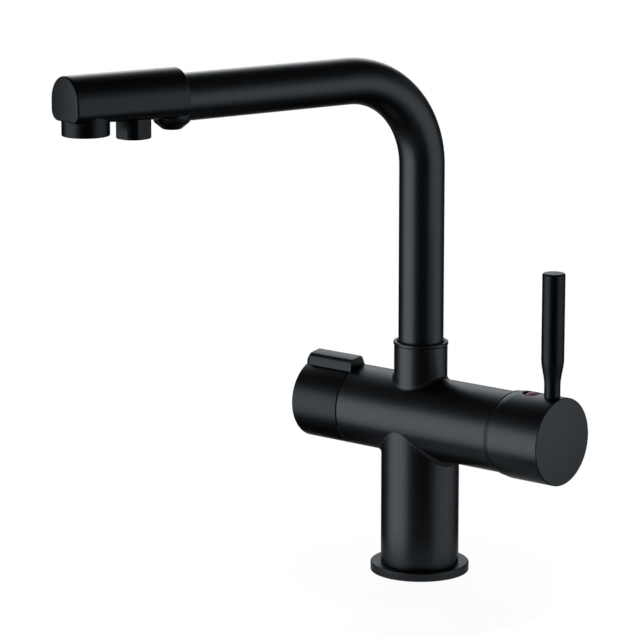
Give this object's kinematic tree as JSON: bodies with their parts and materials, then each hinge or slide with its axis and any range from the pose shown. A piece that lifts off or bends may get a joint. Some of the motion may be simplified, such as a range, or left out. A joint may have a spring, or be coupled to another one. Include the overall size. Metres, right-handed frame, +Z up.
{
  "type": "drinking water filter tap",
  "caption": "Black deck-mounted kitchen tap with a swivel spout, a lever mixer on one end of a cross barrel and a filtered-water knob on the other, with separate outlets in the spout head.",
  "frame": {"origin": "middle of the column's foot, on the worktop", "axes": "+Z up along the column, -Y towards the user, +X towards the mixer, -X towards the filter knob"},
  "size_m": [0.172, 0.2492, 0.2951],
  "materials": {
    "black_finish": "satin black",
    "brass": "machined",
    "rubber": "matte",
    "ceramic": "lapped ceramic",
    "white_plastic": "moulded",
    "steel": "machined",
    "red_plastic": "gloss",
    "blue_plastic": "gloss"
  },
  "bodies": {
    "tap_body": {"body_casting": "black_finish", "base_ring": "black_finish", "base_seal": "rubber", "slide_ring": "black_finish", "spout_retaining_screw": "steel", "filter_nipple": "brass", "filter_nipple_seal": "rubber", "mixer_port_seals": "rubber", "mixer_cartridge_base": "white_plastic", "mixer_fixed_disc": "ceramic", "mixer_cartridge_housing": "white_plastic", "mixer_cartridge_nut": "brass", "filter_valve_body": "brass", "filter_flange_seal": "rubber", "filter_seat_seal": "rubber", "filter_fixed_disc": "ceramic"},
    "spout": {"spout_tube": "black_finish", "spout_spigot": "brass", "spout_o_rings": "rubber", "filter_tube": "white_plastic", "filter_tube_coupler": "brass", "spout_head": "black_finish", "head_seal_ring": "rubber", "head_lock_screw": "steel", "aerator_housing": "black_finish", "aerator_insert": "white_plastic", "aerator_washer": "rubber", "filter_outlet_nozzle": "black_finish", "filter_outlet_insert": "white_plastic", "filter_outlet_washer": "rubber"},
    "filter_handle": {"filter_knob": "black_finish", "filter_knob_screw": "steel", "filter_spindle": "brass", "filter_spindle_o_rings": "rubber", "filter_spindle_clip": "steel", "filter_moving_disc": "ceramic"},
    "mixer_turret": {"mixer_rotor": "white_plastic", "mixer_pivot_pin": "steel"},
    "mixer_disc_slide": {"mixer_disc_carrier": "white_plastic", "mixer_moving_disc": "ceramic"},
    "mixer_handle": {"mixer_stem": "brass", "mixer_cap": "black_finish", "mixer_lever": "black_finish", "mixer_handle_screw": "steel", "indicator_red": "red_plastic", "indicator_blue": "blue_plastic"}
  },
  "joints": [
    {"name": "spout_swivel", "type": "hinge", "parent": "tap_body", "child": "spout", "pos_m": [0, 0, 0.1282], "axis": [0, 0, 1], "continuous": true},
    {"name": "filter_turn", "type": "hinge", "parent": "tap_body", "child": "filter_handle", "pos_m": [-0.05, 0, 0.0882], "axis": [1, 0, 0], "range_deg": [0, 90]},
    {"name": "mixer_temperature", "type": "hinge", "parent": "tap_body", "child": "mixer_turret", "pos_m": [0.061, 0, 0.0882], "axis": [1, 0, 0], "range_deg": [-45, 45]},
    {"name": "mixer_flow", "type": "hinge", "parent": "mixer_turret", "child": "mixer_handle", "pos_m": [0.061, 0, 0.0882], "axis": [0, 1, 0], "range_deg": [0, 16]},
    {"name": "mixer_disc_travel", "type": "slide", "parent": "mixer_turret", "child": "mixer_disc_slide", "axis": [0, 0, 1], "range_m": [0, 0.0034]}
  ],
  "couplings": [
    {"joint": "mixer_disc_travel", "follows": "mixer_flow", "m_per_rad": 0.012}
  ]
}
